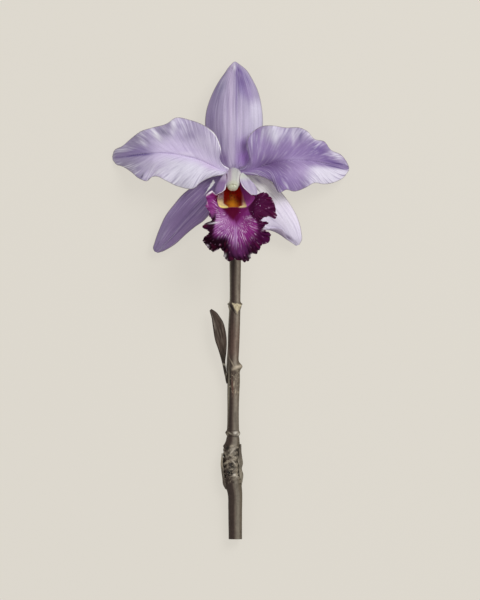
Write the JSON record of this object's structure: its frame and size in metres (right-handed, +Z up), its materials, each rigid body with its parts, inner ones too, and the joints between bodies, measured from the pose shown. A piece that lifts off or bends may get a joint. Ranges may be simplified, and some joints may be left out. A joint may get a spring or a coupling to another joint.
{
  "type": "cattleya orchid",
  "caption": "Cut orchid flower on its woody stem: lavender sepals and waved petals round a ruffled dark lip, laid on its back with its face up.",
  "frame": {"origin": "middle of the orchid's footprint on the surface that it lies on", "axes": "+Y from the stem's cut foot to the flower's upper sepal, +X towards the flower's right petal as seen from above, +Z up, the way that the flower faces"},
  "size_m": [0.1432, 0.2876, 0.0503],
  "materials": {
    "sepal": "fleshy lavender, satin",
    "petal": "fleshy lavender, satin",
    "lip": "dark crimson purple, velvety",
    "column": "waxy white",
    "anther_cap": "waxy cream",
    "pollinia": "waxy yellow",
    "ovary": "fleshy green, satin",
    "stem": "dry brown bark",
    "dry_leaf": "dry brown leaf",
    "dry_husk": "pale dry husk"
  },
  "bodies": {
    "root": {"stem": "stem", "ovary": "ovary", "floral_bract": "dry_husk", "dorsal_sepal": "sepal", "left_lateral_sepal": "sepal", "right_lateral_sepal": "sepal", "left_petal": "petal", "right_petal": "petal", "lip": "lip", "column": "column", "anther_cap": "anther_cap", "pollinia": "pollinia", "side_leaf": "dry_leaf", "left_sheath_scale": "dry_leaf", "right_sheath_scale": "dry_husk"}
  },
  "joints": []
}
